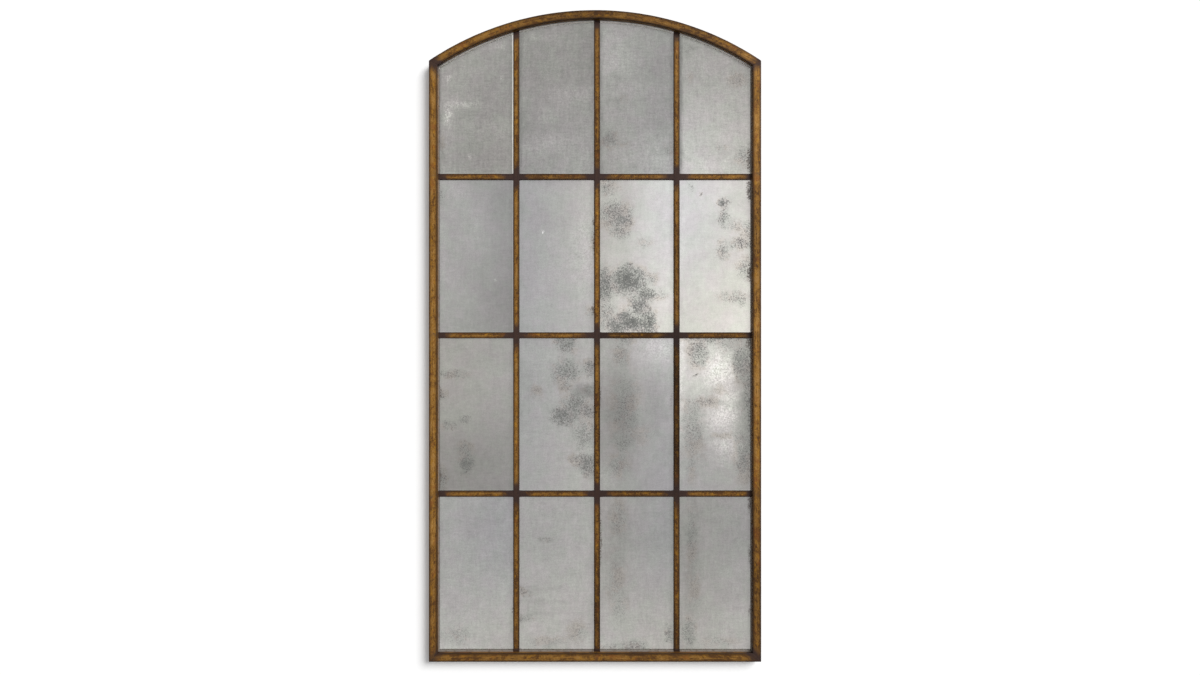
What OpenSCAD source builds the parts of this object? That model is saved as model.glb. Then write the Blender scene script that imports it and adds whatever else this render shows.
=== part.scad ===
// Arched window-pane mirror. A welded frame of square steel tube holds antiqued mirror panes behind a
// grid of flat glazing bars. A board closes the back, held by clips, and two strap hangers carry D-rings.
// Millimetres, +Z up. The front faces -Y, and the origin is the middle of the bottom rail's underside.

/* [Frame] */
// Overall width over the two stiles
frame_w = 1067; // [900:1:1300]
// Overall height to the top of the arch
frame_h = 2092; // [1980:1:2400]
// Height of the arch's crown above the outer top corners
arch_rise = 162; // [90:1:260]
// Width of the steel tube, seen from the front
tube_face = 28; // [25:1:45]
// Depth of the steel tube, front to back
tube_depth = 28; // [20:1:45]
// Wall thickness of the tube
tube_wall = 1.5; // [1:0.25:2.5]
// Radius of the tube's outer edges
tube_edge_r = 2; // [0.5:0.25:4]

/* [Glazing bars] */
// Panes across the frame
columns = 4; // [2:1:5]
// Panes up the frame
rows = 4; // [3:1:4]
// Width of a glazing bar
bar_w = 20; // [14:0.5:26]
// Thickness of a glazing bar
bar_t = 4; // [3:0.5:5]
// Radius of a bar's two front edges
bar_edge_r = 1.5; // [0.5:0.25:2.5]
// How far each upright stands right of even spacing, from the left, as the photograph shows
bar_offsets = [3.5, 6.5, 5.5]; // [-10:0.5:10]
// Clear height of the panes in the bottom row
lower_pane_h = 498.5; // [440:0.5:540]
// Clear height of the panes in the rows between the bottom and the top
middle_pane_h = 491.5; // [440:0.5:530]
// Width of the stop strips round the inside of the frame
stop_w = 3; // [2:0.5:6]

/* [Glass and backing] */
// Thickness of a mirror pane
glass_t = 4; // [3:0.5:5]
// Gap between neighbouring panes behind a bar
pane_gap = 2; // [1:0.5:4]
// Clearance between the panes and the frame tubes
pane_clear = 1; // [0.5:0.25:1.5]
// Thickness of the tape between the bars and the glass
tape_t = 1; // [0.5:0.25:2]
// How far the tape keeps back from the edges of the bars and stops
tape_setback = 1.5; // [0.5:0.25:1.75]
// Thickness of the backing board
board_t = 5; // [3:0.5:6]
// Clearance between the backing board and the frame tubes
board_clear = 1; // [0.5:0.25:2]

/* [Backing clips] */
// Length of a clip that lies on the tube
clip_on_tube = 14; // [12:0.5:18]
// Length of a clip that lies on the backing board
clip_on_board = 20; // [10:0.5:30]
// Width of a clip
clip_w = 16; // [12:0.5:24]
// Thickness of a clip
clip_t = 1.2; // [0.8:0.1:2]
// Radius of a clip's corners
clip_corner_r = 3; // [1:0.5:5]
// Clips on each stile
stile_clips = 4; // [3:1:6]
// Distance from a stile's end to its first clip
clip_end = 160; // [130:5:250]
// Distance between the three clips on the bottom rail
rail_clip_pitch = 330; // [150:5:400]
// Distance between the three clips on the arch, along its inner edge
arch_clip_pitch = 330; // [150:5:400]

/* [Screws] */
// Radius of a screw's head
screw_head_r = 3.5; // [3:0.1:4.2]
// Height of a screw's head
screw_head_h = 2.3; // [1.6:0.1:3]
// Radius of a screw's shank
screw_shank_r = 1.6; // [1.2:0.1:2]
// Length of a screw below its head
screw_len = 10; // [7:0.5:14]
// Radial clearance of a screw in the tube's wall
screw_fit = 0.1; // [0.05:0.05:0.2]
// Radial clearance of a screw in a clip or a strap
screw_clear = 0.4; // [0.2:0.1:0.6]

/* [Hangers] */
// Distance from the top clip on a stile down to the ring's hinge line
hanger_drop = 100; // [50:5:250]
// Width of a strap
strap_w = 14; // [12:0.5:15]
// Thickness of a strap
strap_t = 1.2; // [0.8:0.1:1.6]
// Length of a strap below the hinge line
strap_len = 50; // [47:1:70]
// Distance from the hinge line to the first strap screw
strap_screw_drop = 28; // [27:0.5:30]
// Distance between a strap's two screws
strap_screw_pitch = 14; // [9:0.5:15]
// Distance between the two legs of a D-ring, centre to centre
ring_w = 22; // [21:0.5:24]
// Length of a D-ring's straight legs, from the hinge line to the start of its bow
ring_leg = 9; // [7:0.5:10]
// Radius of a D-ring's upper bends
ring_bend_r = 3; // [2.5:0.25:3.25]
// Radius of a D-ring's wire
ring_wire_r = 1.6; // [1.2:0.1:2]
// Radial clearance of the wire in the strap's eye
ring_fit = 0.3; // [0.2:0.05:0.5]

/* [Wall bumpers] */
// Radius of a rubber bumper
bumper_r = 9; // [7:0.5:12]
// Height of a rubber bumper
bumper_h = 8; // [7:0.5:14]
// Width of the chamfer round a bumper's wall face
bumper_chamfer = 1.5; // [0.5:0.25:3]
// Distance from a stile's end to the middle of its bumper
bumper_end = 45; // [35:1:100]

/* [Hidden] */
$fn = 72;
// Facets of the full circles that the arch is part of
arch_fn = 240;
finish_gold = [0.50, 0.37, 0.18];
finish_bar = [0.45, 0.32, 0.16];
finish_glass = [0.66, 0.66, 0.64];
finish_tape = [0.10, 0.10, 0.10];
finish_board = [0.20, 0.17, 0.15];
finish_zinc = [0.72, 0.72, 0.70];
finish_rubber = [0.12, 0.12, 0.12];

// How far a cutting shape passes the faces that it cuts
past = 1;
// How far the arch's sweep passes the corners before the mitres cut it
sweep_past = 3;

half_w = frame_w / 2;
open_half_w = half_w - tube_face;
tube_axis_x = half_w - tube_face / 2;
arch_r = (half_w * half_w + arch_rise * arch_rise) / (2 * arch_rise);
arch_inner_r = arch_r - tube_face;
arch_centre_z = frame_h - arch_r;
corner_z = frame_h - arch_rise;

// Height where the arched edge meets the straight side of an outline set in from the opening by inset
function spring_z(inset) =
    arch_centre_z + sqrt(pow(arch_inner_r - inset, 2) - pow(open_half_w - inset, 2));

inner_corner_z = spring_z(0);
mitre_slope = (corner_z - inner_corner_z) / tube_face;

// The layers, from the back of the tube forwards, each given by its front face
back_y = tube_depth / 2;
front_y = -back_y;
board_y = back_y - board_t;
glass_y = board_y - glass_t;
tape_y = glass_y - tape_t;
bar_y = tape_y - bar_t;

bar_pitch = (2 * open_half_w + bar_w) / columns;

// Centre line of upright bar i, counted from the left
function bar_x(i) =
    i * bar_pitch - open_half_w - bar_w / 2 + (i > len(bar_offsets) ? 0 : bar_offsets[i - 1]);
// Left side and width of the clear space of column c, counted from the left
function column_x(c) = c == 1 ? -open_half_w : bar_x(c - 1) + bar_w / 2;
function pane_w(c) = (c == columns ? open_half_w : bar_x(c) - bar_w / 2) - column_x(c);
// Centre line of the cross bars under row r, counted from the top
function cross_z(r) =
    tube_face + lower_pane_h + bar_w / 2 + (rows - 1 - r) * (middle_pane_h + bar_w);
// Bottom and top of the clear height of row r
function row_bottom(r) = r == rows ? tube_face : cross_z(r) + bar_w / 2;
function row_top(r) = r == 1 ? frame_h : cross_z(r - 1) - bar_w / 2;

// A clip's station is [x, z, turn]: a point on the tube's inner edge, and the turn about Y that points
// local +X into the opening.
clip_top_z = corner_z - clip_end;
function stile_clip_z(i) = clip_end + i * (clip_top_z - clip_end) / (stile_clips - 1);
function arch_station(a) =
    [arch_inner_r * sin(a), arch_centre_z + arch_inner_r * cos(a), 90 + a];
arch_clip_turn = arch_clip_pitch / arch_inner_r * 180 / PI;
left_stations = [for (i = [0 : stile_clips - 1]) [-open_half_w, stile_clip_z(i), 0]];
right_stations = [for (i = [0 : stile_clips - 1]) [open_half_w, stile_clip_z(i), 180]];
rail_stations = [for (i = [-1 : 1]) [i * rail_clip_pitch, tube_face, -90]];
arch_stations = [for (i = [-1 : 1]) arch_station(i * arch_clip_turn)];
clip_stations = concat(left_stations, right_stations, rail_stations, arch_stations);

hinge_z = clip_top_z - hanger_drop;
eye_bore_r = ring_wire_r + ring_fit;
eye_r = eye_bore_r + strap_t;
hinge_y = back_y + eye_r;

// Screw head: pan profile as shares of its radius and height, from the rim's foot to the middle
head_profile = [[0, 0], [1, 0], [1, 0.45], [0.93, 0.72], [0.75, 0.9], [0.45, 1], [0, 1]];
screw_tip = screw_shank_r;
recess_w = screw_head_r * 0.28;
recess_len = screw_head_r * 1.15;
recess_depth = screw_head_h * 0.5;

// Extrudes a shape drawn in X and Z from the depth y backwards by t
module slab(y, t) {
    translate([0, y + t, 0])
        rotate([90, 0, 0])
            linear_extrude(t)
                children();
}

// Turns a shape built along +Z to point out of the back, along +Y
module backwards() {
    rotate([-90, 0, 0])
        children();
}

module rounded_rect(w, h, r) {
    square([w - 2 * r, h], center = true);
    square([w, h - 2 * r], center = true);
    for (x = [-1, 1])
        for (y = [-1, 1])
            translate([x * (w / 2 - r), y * (h / 2 - r)])
                circle(r = r);
}

// Clear opening of the frame, set in by inset on every side
module opening(inset) {
    side_x = open_half_w - inset;
    foot_z = tube_face + inset;
    translate([-side_x, foot_z])
        square([2 * side_x, spring_z(inset) - foot_z]);
    intersection() {
        translate([-side_x, inner_corner_z - arch_rise])
            square([2 * side_x, 2 * arch_rise + tube_face]);
        translate([0, arch_centre_z])
            circle(r = arch_inner_r - inset, $fn = arch_fn);
    }
}

// Clear rectangle of the pane in row r and column c, grown by g on every side
module cell(r, c, g) {
    translate([column_x(c) - g, row_bottom(r) - g])
        square([pane_w(c) + 2 * g, row_top(r) - row_bottom(r) + 2 * g]);
}

module tube_section() {
    difference() {
        rounded_rect(tube_face, tube_depth, tube_edge_r);
        square([tube_face - 2 * tube_wall, tube_depth - 2 * tube_wall], center = true);
    }
}

module bar_section() {
    translate([-bar_w / 2, bar_edge_r])
        square([bar_w, bar_t - bar_edge_r]);
    translate([bar_edge_r - bar_w / 2, 0])
        square([bar_w - 2 * bar_edge_r, bar_t]);
    for (side = [-1, 1])
        translate([side * (bar_w / 2 - bar_edge_r), bar_edge_r])
            circle(r = bar_edge_r);
}

module at_station(s) {
    translate([s[0], 0, s[1]])
        rotate([0, s[2], 0])
            children();
}

// Point on a clip's centre line where its screw goes into the tube
module at_clip_screw(s) {
    at_station(s)
        translate([-clip_on_tube / 2, back_y, 0])
            children();
}

module at_hanger(side) {
    translate([side * tube_axis_x, back_y, hinge_z])
        children();
}

module at_strap_screws(side) {
    for (i = [0, 1])
        at_hanger(side)
            translate([0, 0, -strap_screw_drop - i * strap_screw_pitch])
                children();
}

// Hole through the tube's back wall
module wall_hole() {
    translate([0, -tube_wall - past, 0])
        backwards()
            cylinder(r = screw_shank_r + screw_fit, h = tube_wall + 2 * past);
}

// Pan-head screw that clamps a plate of thickness plate_t lying on the tube's back
module screw(plate_t) {
    color(finish_zinc)
        translate([0, plate_t, 0])
            backwards() {
                difference() {
                    rotate_extrude()
                        polygon([for (p = head_profile) [p[0] * screw_head_r, p[1] * screw_head_h]]);
                    for (turn = [0, 90])
                        rotate([0, 0, turn])
                            translate([0, 0, screw_head_h])
                                cube([recess_len, recess_w, 2 * recess_depth], center = true);
                }
                translate([0, 0, screw_tip - screw_len])
                    cylinder(r = screw_shank_r, h = screw_len - screw_tip);
                translate([0, 0, -screw_len])
                    cylinder(r1 = 0, r2 = screw_shank_r, h = screw_tip);
            }
}

// Upright side tube, on the left for side -1 and the right for side 1. It is mitred to the bottom rail at
// 45 degrees, and to the arch along the line through the corner's outer and inner points.
module stile(side, stations) {
    color(finish_gold)
        difference() {
            intersection() {
                translate([side * tube_axis_x, 0, 0])
                    linear_extrude(frame_h)
                        tube_section();
                slab(front_y - past, tube_depth + 2 * past)
                    polygon([
                        [side * open_half_w, tube_face],
                        [side * half_w, 0],
                        [side * half_w, corner_z],
                        [side * open_half_w, inner_corner_z]
                    ]);
            }
            for (s = stations)
                at_clip_screw(s)
                    wall_hole();
            at_strap_screws(side)
                wall_hole();
        }
}

module left_stile() {
    stile(-1, left_stations);
}

module right_stile() {
    stile(1, right_stations);
}

module bottom_rail() {
    color(finish_gold)
        difference() {
            intersection() {
                translate([0, 0, tube_face / 2])
                    rotate([0, 90, 0])
                        linear_extrude(frame_w, center = true)
                            tube_section();
                slab(front_y - past, tube_depth + 2 * past)
                    polygon([
                        [-half_w, 0],
                        [half_w, 0],
                        [open_half_w, tube_face],
                        [-open_half_w, tube_face]
                    ]);
            }
            for (s = rail_stations)
                at_clip_screw(s)
                    wall_hole();
        }
}

// Tube bent to the arch, cut at both ends along the lines through the outer and inner corners
module arch_head() {
    sweep = atan2(half_w, corner_z - arch_centre_z) + sweep_past;
    far_x = half_w + sweep_past * tube_face;
    meet_z = inner_corner_z - mitre_slope * open_half_w;
    color(finish_gold)
        difference() {
            intersection() {
                translate([0, 0, arch_centre_z])
                    rotate([90, 0, 0])
                        rotate_extrude(start = 90 - sweep, angle = 2 * sweep, $fn = arch_fn)
                            translate([arch_r - tube_face / 2, 0])
                                tube_section();
                slab(front_y - past, tube_depth + 2 * past)
                    polygon([
                        [0, meet_z],
                        [far_x, meet_z + mitre_slope * far_x],
                        [far_x, frame_h + past],
                        [-far_x, frame_h + past],
                        [-far_x, meet_z + mitre_slope * far_x]
                    ]);
            }
            for (s = arch_stations)
                at_clip_screw(s)
                    wall_hole();
        }
}

// Upright bar from the bottom rail to the arch
module glazing_bar(i) {
    color(finish_bar)
        intersection() {
            translate([bar_x(i), bar_y, 0])
                linear_extrude(frame_h)
                    bar_section();
            slab(bar_y - past, bar_t + 2 * past)
                opening(0);
        }
}

// Short bar under the pane in row r and column c, between two uprights or an upright and a stile
module cross_bar(r, c) {
    color(finish_bar)
        translate([column_x(c), bar_y, cross_z(r)])
            rotate([0, 90, 0])
                linear_extrude(pane_w(c))
                    bar_section();
}

module mirror_pane(r, c) {
    color(finish_glass)
        slab(glass_y, glass_t)
            intersection() {
                opening(pane_clear);
                cell(r, c, (bar_w - pane_gap) / 2);
            }
}

// Strips round the inside of the frame that stop the panes' outer edges, cut to fit between the bars
module stop_strips() {
    color(finish_bar)
        slab(bar_y, bar_t)
            difference() {
                opening(0);
                opening(stop_w);
                for (i = [1 : columns - 1])
                    translate([bar_x(i) - bar_w / 2, 0])
                        square([bar_w, frame_h]);
                for (r = [1 : rows - 1])
                    translate([-half_w, cross_z(r) - bar_w / 2])
                        square([frame_w, bar_w]);
            }
}

// Tape behind the bars and the stop strips, with a window for each pane
module glazing_tape() {
    color(finish_tape)
        slab(tape_y, tape_t)
            difference() {
                opening(0);
                for (r = [1 : rows])
                    for (c = [1 : columns])
                        intersection() {
                            opening(stop_w - tape_setback);
                            cell(r, c, tape_setback);
                        }
            }
}

module backing_board() {
    color(finish_board)
        slab(board_y, board_t)
            opening(board_clear);
}

module backing_clips() {
    color(finish_zinc)
        for (s = clip_stations)
            at_station(s)
                slab(back_y, clip_t)
                    difference() {
                        translate([(clip_on_board - clip_on_tube) / 2, 0])
                            rounded_rect(clip_on_board + clip_on_tube, clip_w, clip_corner_r);
                        translate([-clip_on_tube / 2, 0])
                            circle(r = screw_shank_r + screw_clear);
                    }
}

module clip_screws() {
    for (s = clip_stations)
        at_clip_screw(s)
            screw(clip_t);
}

// Strap rolled into an eye at its top, with the hinge line through the eye
module hanger_strap(side) {
    color(finish_zinc)
        difference() {
            at_hanger(side)
                rotate([90, 0, 90])
                    linear_extrude(strap_w, center = true)
                        difference() {
                            union() {
                                translate([eye_r, 0])
                                    circle(r = eye_r);
                                translate([0, -strap_len])
                                    square([strap_t, strap_len]);
                            }
                            translate([eye_r, 0])
                                circle(r = eye_bore_r);
                        }
            at_strap_screws(side)
                translate([0, -past, 0])
                    backwards()
                        cylinder(r = screw_shank_r + screw_clear, h = strap_t + 2 * past);
        }
}

// Arc of ring wire in the XZ plane, about [x, z], from angle from through angle turn
module wire_arc(x, z, r, from, turn) {
    translate([x, 0, z])
        rotate([90, 0, 0])
            rotate_extrude(start = from, angle = turn)
                translate([r, 0])
                    circle(r = ring_wire_r);
}

// D-ring hanging down from the eye: straight top in the eye, two bends, two legs and a round bow
module d_ring(side) {
    bend_x = ring_w / 2 - ring_bend_r;
    color(finish_zinc)
        translate([side * tube_axis_x, hinge_y, hinge_z]) {
            rotate([0, 90, 0])
                cylinder(r = ring_wire_r, h = 2 * bend_x, center = true);
            wire_arc(bend_x, -ring_bend_r, ring_bend_r, 0, 90);
            wire_arc(-bend_x, -ring_bend_r, ring_bend_r, 90, 90);
            for (x = [-ring_w / 2, ring_w / 2])
                translate([x, 0, -ring_leg])
                    cylinder(r = ring_wire_r, h = ring_leg - ring_bend_r);
            wire_arc(0, -ring_leg, ring_w / 2, 180, 180);
        }
}

module hanger_screws() {
    for (side = [-1, 1])
        at_strap_screws(side)
            screw(strap_t);
}

module wall_bumpers() {
    color(finish_rubber)
        for (side = [-1, 1])
            for (z = [bumper_end, corner_z - bumper_end])
                translate([side * tube_axis_x, back_y, z])
                    backwards() {
                        cylinder(r = bumper_r, h = bumper_h - bumper_chamfer);
                        translate([0, 0, bumper_h - bumper_chamfer])
                            cylinder(r1 = bumper_r, r2 = bumper_r - bumper_chamfer, h = bumper_chamfer);
                    }
}

left_stile();
right_stile();
bottom_rail();
arch_head();
for (i = [1 : columns - 1])
    glazing_bar(i);
for (r = [1 : rows - 1])
    for (c = [1 : columns])
        cross_bar(r, c);
for (r = [1 : rows])
    for (c = [1 : columns])
        mirror_pane(r, c);
stop_strips();
glazing_tape();
backing_board();
backing_clips();
clip_screws();
hanger_strap(-1);  // hanger_strap_left
hanger_strap(1);  // hanger_strap_right
d_ring(-1);  // d_ring_left
d_ring(1);  // d_ring_right
hanger_screws();
wall_bumpers();
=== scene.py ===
"""Looks of the arched window-pane mirror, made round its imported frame.

Lengths are in metres, +Z is up, and the mirror's front faces -Y.
"""

import itertools
import math
from collections import namedtuple

import bpy
import numpy as np
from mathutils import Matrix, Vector


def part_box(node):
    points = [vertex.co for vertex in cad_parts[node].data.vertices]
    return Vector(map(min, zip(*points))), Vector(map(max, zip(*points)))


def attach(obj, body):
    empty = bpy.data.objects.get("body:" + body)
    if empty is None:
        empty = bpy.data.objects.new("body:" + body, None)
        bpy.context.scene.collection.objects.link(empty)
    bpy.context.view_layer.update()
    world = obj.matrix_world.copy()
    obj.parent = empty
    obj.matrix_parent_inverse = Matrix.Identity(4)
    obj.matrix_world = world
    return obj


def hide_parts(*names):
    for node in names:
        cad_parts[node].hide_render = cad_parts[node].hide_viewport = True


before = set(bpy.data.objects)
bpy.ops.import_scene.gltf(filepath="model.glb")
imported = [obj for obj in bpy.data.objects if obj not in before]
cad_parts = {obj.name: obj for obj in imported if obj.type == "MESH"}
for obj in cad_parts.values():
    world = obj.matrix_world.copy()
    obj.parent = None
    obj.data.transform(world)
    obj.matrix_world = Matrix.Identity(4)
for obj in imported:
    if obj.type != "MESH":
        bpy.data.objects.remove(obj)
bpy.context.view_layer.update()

# Sizes read from the frame

MM = 0.001
ROWS = COLUMNS = 4


def corners(node):
    """Lowest and highest corner of a node, as arrays."""
    low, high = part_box(node)
    return np.array(low), np.array(high)


RAIL_LOW, RAIL_HIGH = corners("bottom_rail")
STILE_HIGH = corners("right_stile")[1]
ARCH_HIGH = corners("arch_head")[1]
UPRIGHTS = [corners(f"glazing_bar_{i}") for i in range(1, COLUMNS)]
CROSSINGS = [corners(f"cross_bar_{r}_1") for r in range(1, ROWS)]

FACE = RAIL_HIGH[2] - RAIL_LOW[2]
DEPTH = RAIL_HIGH[1] - RAIL_LOW[1]
HALF_W = STILE_HIGH[0]
OPEN_HALF_W = HALF_W - FACE
TUBE_AXIS_X = HALF_W - FACE / 2
CORNER_Z = STILE_HIGH[2]
RISE = ARCH_HIGH[2] - CORNER_Z
ARCH_R = (HALF_W**2 + RISE**2) / (2 * RISE)
ARCH_CENTRE_Z = ARCH_HIGH[2] - ARCH_R
ARCH_INNER_R = ARCH_R - FACE
ARCH_AXIS_R = ARCH_R - FACE / 2
INNER_CORNER_Z = ARCH_CENTRE_Z + math.sqrt(ARCH_INNER_R**2 - OPEN_HALF_W**2)
MITRE_SLOPE = (CORNER_Z - INNER_CORNER_Z) / FACE

BAR_W = UPRIGHTS[0][1][0] - UPRIGHTS[0][0][0]
BAR_T = UPRIGHTS[0][1][1] - UPRIGHTS[0][0][1]
BAR_Y = (UPRIGHTS[0][1][1] + UPRIGHTS[0][0][1]) / 2
CROSS_Z = [(low[2] + high[2]) / 2 for low, high in CROSSINGS]
STRIP_FRONT = corners("stop_strips")[0][1]
WALL_Y = corners("wall_bumpers")[1][1]

LEFTS = [-OPEN_HALF_W] + [high[0] for low, high in UPRIGHTS]
RIGHTS = [low[0] for low, high in UPRIGHTS] + [OPEN_HALF_W]
BOTTOMS = [high[2] for low, high in CROSSINGS] + [RAIL_HIGH[2]]
TOPS = [ARCH_HIGH[2] - FACE] + [low[2] for low, high in CROSSINGS]

# Sizes of the metalwork that only the looks have

TUBE_EDGE_R = 2 * MM
BAR_EDGE_R = 1.5 * MM
BAR_BACK_R = 0.3 * MM
STEP = 4 * MM
DENT = 0.3 * MM
DENT_SIZE = 26 * MM
POCK = 0.12 * MM
POCK_SIZE = 11 * MM
GROOVE = 0.45 * MM
GROOVE_REACH = 1.0 * MM
WELD = 1.5 * MM
WELD_REACH = 2.6 * MM
WELD_SINK = 1.2 * MM
RIM_REACH = 5.5 * MM
SHARP_ANGLE = math.radians(50)


# Surfaces

LATTICE_WEIGHTS = np.array([127.1, 311.7, 74.7])
LATTICE_SEED = 53.7
LATTICE_SCALE = 43758.5453


def lattice(cell, seed):
    """A number from 0 to 1 for each whole-number cell.

    It is the fraction of a large multiple of the sine of the cell's weighted sum.
    """
    mix = cell @ LATTICE_WEIGHTS + LATTICE_SEED * seed
    return np.modf(np.abs(np.sin(mix)) * LATTICE_SCALE)[0]


def ripple(points, size, seed):
    """Smooth noise from 0 to 1: the lattice's numbers at the eight corners of a cell, eased together.

    size is the width of a cell.
    """
    place = points / size
    cell = np.floor(place)
    part = place - cell
    ease = part * part * (3 - 2 * part)
    total = np.zeros(points.shape[:-1])
    for corner in itertools.product((0, 1), repeat=3):
        weight = np.prod(np.where(corner, ease, 1 - ease), axis=-1)
        total += weight * lattice(cell + corner, seed)
    return total


Section = namedtuple("Section", "outline outward rim")


def rounded_section(width, depth, front_r, back_r, side_steps, arc_steps):
    """Rounded rectangle across a bar, counter-clockwise, with the front at negative depth.

    The outline's rows are (across, depth). Each corner is a quarter circle about its own centre, and
    each side is a straight line cut into equal steps. outward is the outline's own normal, and rim
    falls from 1 at an edge as a bell curve of the distance over RIM_REACH.
    """
    turn = np.linspace(0, math.pi / 2, arc_steps + 1)
    arcs = []
    middles = []
    for quarter, (side, face) in enumerate(((1, 1), (-1, 1), (-1, -1), (1, -1))):
        r = back_r if face > 0 else front_r
        centre = np.array([side * (width / 2 - r), face * (depth / 2 - r)])
        angle = turn + quarter * math.pi / 2
        arcs.append(centre + r * np.stack([np.cos(angle), np.sin(angle)], axis=1))
        middles.append(centre + r * math.sqrt(0.5) * np.array([side, face]))
    shares = np.linspace(0, 1, side_steps + 1)[1:-1, None]
    sides = []
    for arc, following in zip(arcs, arcs[1:] + arcs[:1]):
        sides.append(arc[-1] + (following[0] - arc[-1]) * shares)
    outline = np.concatenate([part for pair in zip(arcs, sides) for part in pair])
    along = np.roll(outline, -1, axis=0) - np.roll(outline, 1, axis=0)
    outward = np.stack([along[:, 1], -along[:, 0]], axis=1)
    outward /= np.linalg.norm(outward, axis=1, keepdims=True)
    gap = np.linalg.norm(outline[:, None] - np.array(middles)[None], axis=2).min(axis=1)
    return Section(outline, outward, np.exp(-((gap / RIM_REACH) ** 2)))


def stations(length):
    """Distances along a bar: even steps, with finer ones where the weld or the mitre's groove is."""
    fine = np.array([0, 0.4, 0.8, 1.2, 1.7, 2.3, 3, 4, 5.5]) * MM
    count = max(2, round((length - 2 * fine[-1]) / STEP))
    middle = np.linspace(fine[-1], length - fine[-1], count + 1)
    return np.concatenate([fine[:-1], middle, length - fine[:-1][::-1]])


def closed_skin(rings):
    """Points and faces of a closed bar.

    Quads join each ring to the next, and a flat face closes each end.
    """
    index = np.arange(rings.shape[0] * rings.shape[1]).reshape(rings.shape[:2])
    beside = np.roll(index, -1, axis=1)
    quads = np.stack([index[:-1], beside[:-1], beside[1:], index[1:]], axis=-1).reshape(-1, 4)
    return rings.reshape(-1, 3), quads.tolist() + [index[0][::-1].tolist(), index[-1].tolist()]


def mark(mesh, name, kind, values):
    """Gives each point of a mesh a named value that its finish reads."""
    attribute = mesh.attributes.new(name, kind, "POINT")
    field = "vector" if kind == "FLOAT_VECTOR" else "value"
    attribute.data.foreach_set(field, np.ascontiguousarray(values, np.float32).ravel())


Bell = namedtuple("Bell", "at reach strength")


def strongest(along, bells):
    """The strongest of some bell curves along a bar, each at its own place with its own reach."""
    total = np.zeros(along.shape)
    for bell in bells:
        curve = bell.strength * np.exp(-(((along - bell.at) / bell.reach) ** 2))
        total = np.maximum(total, curve)
    return total


# How far the finish's noise moves along a bar from one seed to the next
RUN_SHIFT = 3.1


def forge(node, shape, lay, length, joints, finish, groove=0.0, weld=0.0, dulled=(), seed=0):
    """Makes a bar of hand-finished metal that stands for a node of the frame.

    lay turns (across, depth, share of the length) into a place. The section's outline is first sunk
    along its own normal by broad dents and fine pocks, and by the groove of a mitre. It is then
    spread by a weld's fillet, which falls off as e to the minus distance over WELD_REACH. joints and
    dulled are bell curves along the bar, of smoke and of darker patina.
    """
    along = stations(length)[:, None]
    share = along / length
    across = shape.outline[None, :, 0]
    depth = shape.outline[None, :, 1]
    plain = np.stack(np.broadcast_arrays(*lay(across, depth, share)), axis=-1)
    to_end = np.minimum(along, length - along)
    sink = DENT * ripple(plain, DENT_SIZE, seed) + POCK * ripple(plain, POCK_SIZE, seed + 1)
    sink = sink + groove * np.exp(-((to_end / GROOVE_REACH) ** 2))
    spread = 1 + weld / (BAR_W / 2) * np.exp(-to_end / WELD_REACH)
    across = (across - sink * shape.outward[None, :, 0]) * spread
    depth = depth - sink * shape.outward[None, :, 1]
    rings = np.stack(np.broadcast_arrays(*lay(across, depth, share)), axis=-1)
    points, faces = closed_skin(rings)

    mesh = bpy.data.meshes.new(node + "_forged")
    mesh.from_pydata(points.tolist(), [], faces)
    mesh.shade_smooth()
    mesh.set_sharp_from_angle(angle=SHARP_ANGLE)
    size = rings.shape[:2]
    mark(mesh, "smoke", "FLOAT", np.broadcast_to(strongest(along, joints), size))
    mark(mesh, "age", "FLOAT", np.broadcast_to(strongest(along, dulled), size))
    mark(mesh, "rim", "FLOAT", np.broadcast_to(shape.rim[None], size))
    lies = np.empty(size + (3,))
    lies[..., 0] = along + RUN_SHIFT * seed
    lies[..., 1:] = shape.outline
    mark(mesh, "lie", "FLOAT_VECTOR", lies)
    mesh.materials.append(finish.material)

    piece = bpy.data.objects.new(node + "_forged", mesh)
    bpy.context.scene.collection.objects.link(piece)
    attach(piece, "mirror_frame")
    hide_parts(node)


# Finishes


class Value:
    """A number, colour or vector on its way through a finish.

    Sums, differences and products of such values add Math nodes.
    """

    def __init__(self, finish, socket):
        self.finish = finish
        self.socket = socket

    def __add__(self, other):
        return self.finish.maths("ADD", self, other)

    def __sub__(self, other):
        return self.finish.maths("SUBTRACT", self, other)

    def __rsub__(self, other):
        return self.finish.maths("SUBTRACT", other, self)

    def __mul__(self, other):
        return self.finish.maths("MULTIPLY", self, other)

    __radd__ = __add__
    __rmul__ = __mul__


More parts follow.
